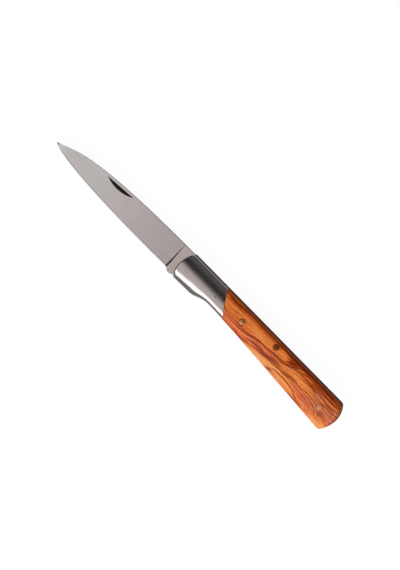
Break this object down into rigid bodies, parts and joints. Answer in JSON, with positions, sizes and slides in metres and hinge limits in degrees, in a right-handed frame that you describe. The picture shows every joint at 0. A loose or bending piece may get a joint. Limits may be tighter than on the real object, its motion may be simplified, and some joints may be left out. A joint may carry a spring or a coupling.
{
  "type": "folding pocket knife",
  "caption": "Slip-joint pocket knife, open: leaf-shaped blade with a nail nick, steel bolsters, wooden scales, back spring and brass pins.",
  "frame": {"origin": "middle of the open knife's plan, on the table that it lies on", "axes": "+X along the handle from the blade's point to the butt, +Y to the back of the knife, away from the cutting edge, +Z out of the mark side, which carries the nail nick"},
  "size_m": [0.2, 0.0178, 0.0115],
  "materials": {
    "blade_steel": "satin, fine grain across the blade",
    "spring_steel": "fine ground",
    "liner_steel": "fine ground",
    "bolster_steel": "mirror polished",
    "olive_wood": "oiled and polished, orange brown with dark wavy veins",
    "brass_pin": "filed flush, dulled"
  },
  "bodies": {
    "handle": {"back_spring": "spring_steel", "mark_side_liner": "liner_steel", "pile_side_liner": "liner_steel", "mark_side_bolster": "bolster_steel", "pile_side_bolster": "bolster_steel", "mark_side_scale": "olive_wood", "pile_side_scale": "olive_wood", "pivot_pin": "bolster_steel", "spring_pin": "brass_pin", "rear_pin": "brass_pin", "mark_side_scale_rivet": "brass_pin", "pile_side_scale_rivet": "brass_pin", "mark_side_bolster_rivet": "bolster_steel", "pile_side_bolster_rivet": "bolster_steel"},
    "blade": {"blade": "blade_steel"}
  },
  "joints": [
    {"name": "blade_pivot", "type": "hinge", "parent": "handle", "child": "blade", "pos_m": [-0.007, -0.0011, 0.00575], "axis": [0, 0, 1], "range_deg": [0, 180], "deforming": ["back_spring"]}
  ]
}
